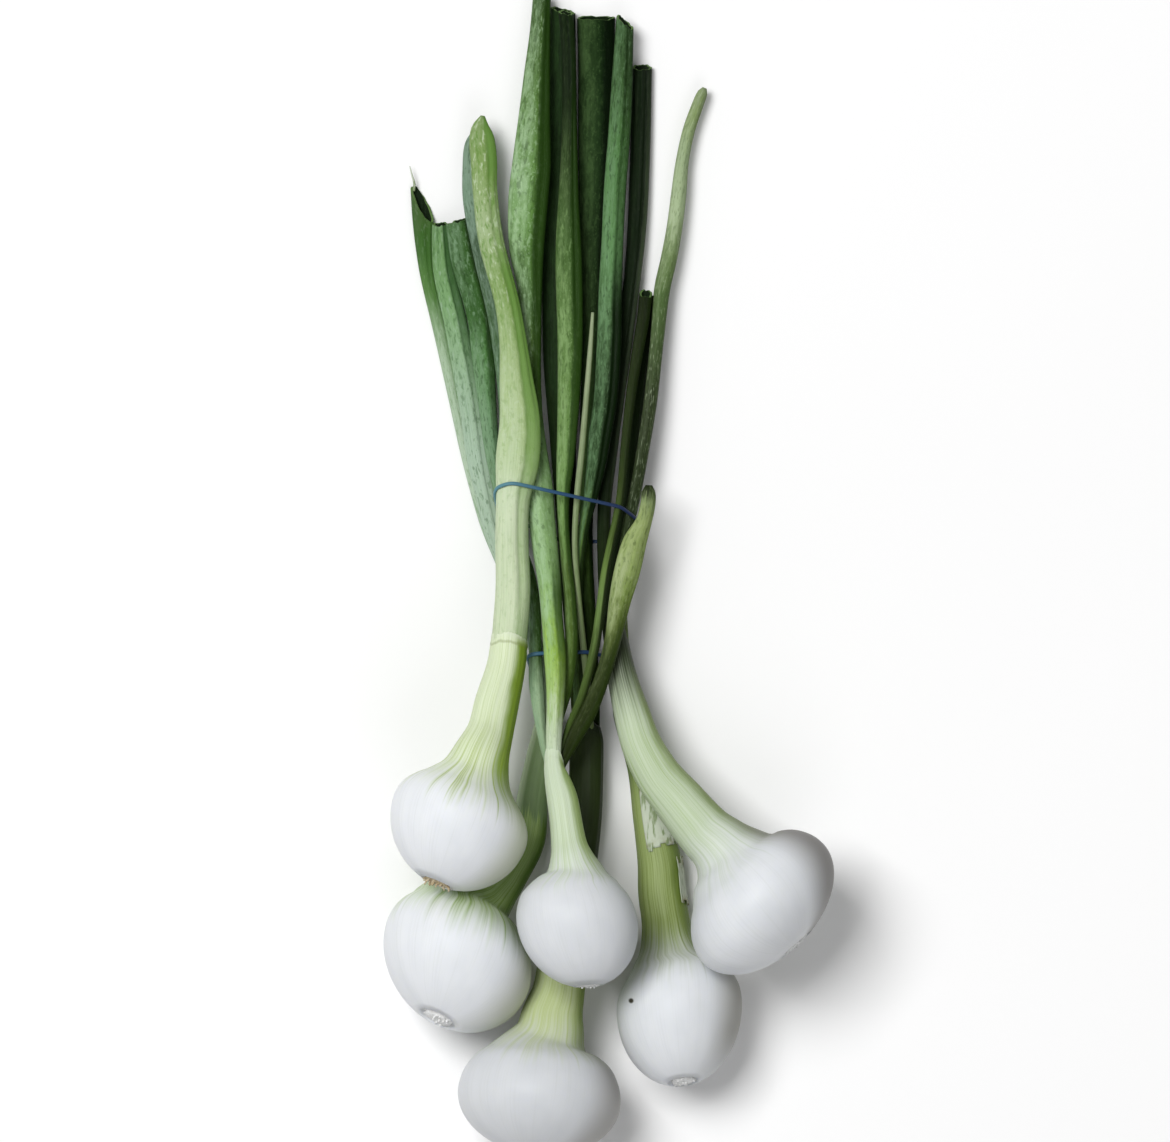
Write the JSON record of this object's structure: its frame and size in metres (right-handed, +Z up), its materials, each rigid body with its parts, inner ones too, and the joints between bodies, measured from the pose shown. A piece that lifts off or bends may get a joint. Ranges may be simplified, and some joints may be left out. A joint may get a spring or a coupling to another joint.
{
  "type": "spring onion bunch",
  "caption": "Bunch of spring onions with white bulbs and long hollow green leaves, lying flat and tied with two thin blue bands.",
  "frame": {"origin": "centre of the bunch's bounding box, on the surface that it lies on", "axes": "+Z up from the surface, +Y along the bunch from the bulbs to the leaf tips, +X to the right seen from above with the leaves up"},
  "size_m": [0.1582, 0.4088, 0.0749],
  "materials": {
    "bulb": "satin white skin with fine veins, pale green at the stem",
    "leaf": "waxy green with fine lengthwise veins",
    "pale_leaf": "waxy pale yellow-green with fine lengthwise veins",
    "roots": "dry fibrous tan",
    "band": "thin dark blue elastic"
  },
  "bodies": {
    "root": {"onion_a_bulb": "bulb", "onion_a_roots": "roots", "onion_a_leaf_1": "pale_leaf", "onion_a_leaf_2": "leaf", "onion_b_bulb": "bulb", "onion_b_roots": "roots", "onion_b_leaf_1": "leaf", "onion_b_leaf_2": "pale_leaf", "onion_c_bulb": "bulb", "onion_c_roots": "roots", "onion_c_leaf_1": "leaf", "onion_c_leaf_2": "leaf", "onion_c_leaf_3": "leaf", "onion_c_leaf_4": "pale_leaf", "onion_c_leaf_5": "leaf", "onion_d_bulb": "bulb", "onion_d_roots": "roots", "onion_d_leaf_1": "leaf", "onion_d_leaf_2": "leaf", "onion_d_leaf_3": "pale_leaf", "onion_d_leaf_4": "leaf", "onion_e_bulb": "bulb", "onion_e_roots": "roots", "onion_e_leaf_1": "leaf", "onion_f_bulb": "bulb", "onion_f_roots": "roots", "onion_f_leaf_1": "leaf", "onion_f_leaf_2": "leaf", "band_upper": "band", "band_lower": "band"}
  },
  "joints": []
}
